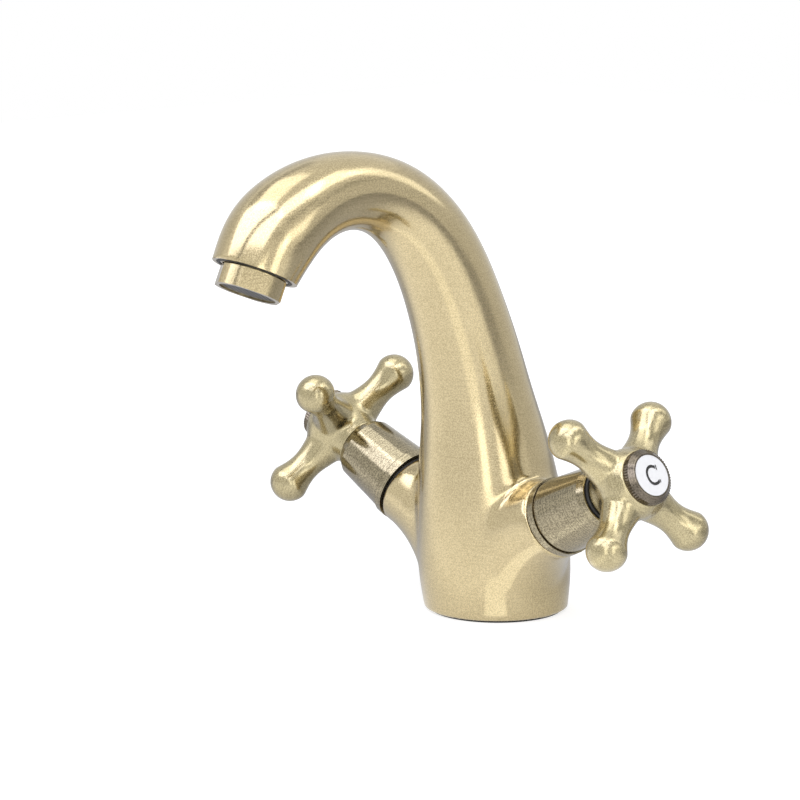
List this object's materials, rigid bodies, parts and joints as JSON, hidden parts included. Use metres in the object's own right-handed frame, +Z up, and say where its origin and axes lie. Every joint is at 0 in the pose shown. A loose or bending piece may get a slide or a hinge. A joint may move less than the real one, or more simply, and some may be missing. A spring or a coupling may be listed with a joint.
{
  "type": "cross handle basin mixer tap",
  "caption": "Deck mounted basin mixer with a swan neck spout, cross handles on angled side valves and an aerator, in antique brass.",
  "frame": {"origin": "centre of the underside of the base seal, on the deck", "axes": "+Z up; the spout points to -Y; the cold valve is on +X and the hot valve on -X"},
  "size_m": [0.1794, 0.1558, 0.1718],
  "materials": {
    "cast_brass": "satin, brushed antique",
    "shroud_brass": "satin, dark antique",
    "handle_brass": "satin antique",
    "plain_brass": "machined",
    "dark_bronze": "dark, knurled",
    "white_enamel": "gloss",
    "valve_ceramic": "lapped",
    "black_rubber": "matte",
    "grey_plastic": "matte",
    "white_plastic": "smooth",
    "steel_mesh": "woven, dark",
    "bright_steel": "satin"
  },
  "bodies": {
    "tap": {"tap_body": "cast_brass", "base_seal": "black_rubber", "aerator_housing": "cast_brass", "aerator_insert": "grey_plastic", "aerator_screen": "steel_mesh", "aerator_washer": "black_rubber", "cold_shroud": "shroud_brass", "cold_valve_body": "plain_brass", "cold_valve_seal": "black_rubber", "cold_seat_seal": "black_rubber", "cold_fixed_disc": "valve_ceramic", "cold_thrust_washer": "white_plastic", "hot_shroud": "shroud_brass", "hot_valve_body": "plain_brass", "hot_valve_seal": "black_rubber", "hot_seat_seal": "black_rubber", "hot_fixed_disc": "valve_ceramic", "hot_thrust_washer": "white_plastic"},
    "cold_rotor": {"cold_handle": "handle_brass", "cold_handle_screw": "bright_steel", "cold_index_ring": "dark_bronze", "cold_index_disc": "white_enamel", "cold_spindle": "plain_brass", "cold_spindle_o_ring": "black_rubber", "cold_circlip": "bright_steel", "cold_moving_disc": "valve_ceramic"},
    "hot_rotor": {"hot_handle": "handle_brass", "hot_handle_screw": "bright_steel", "hot_index_ring": "dark_bronze", "hot_index_disc": "white_enamel", "hot_spindle": "plain_brass", "hot_spindle_o_ring": "black_rubber", "hot_circlip": "bright_steel", "hot_moving_disc": "valve_ceramic"}
  },
  "joints": [
    {"name": "cold_handle_turn", "type": "hinge", "parent": "tap", "child": "cold_rotor", "pos_m": [0, -0.0058, 0.0216], "axis": [-0.8982, 0.0366, -0.4381], "range_deg": [0, 90]},
    {"name": "hot_handle_turn", "type": "hinge", "parent": "tap", "child": "hot_rotor", "pos_m": [0, -0.0058, 0.0216], "axis": [-0.8982, -0.0366, 0.4381], "range_deg": [0, 90]}
  ]
}
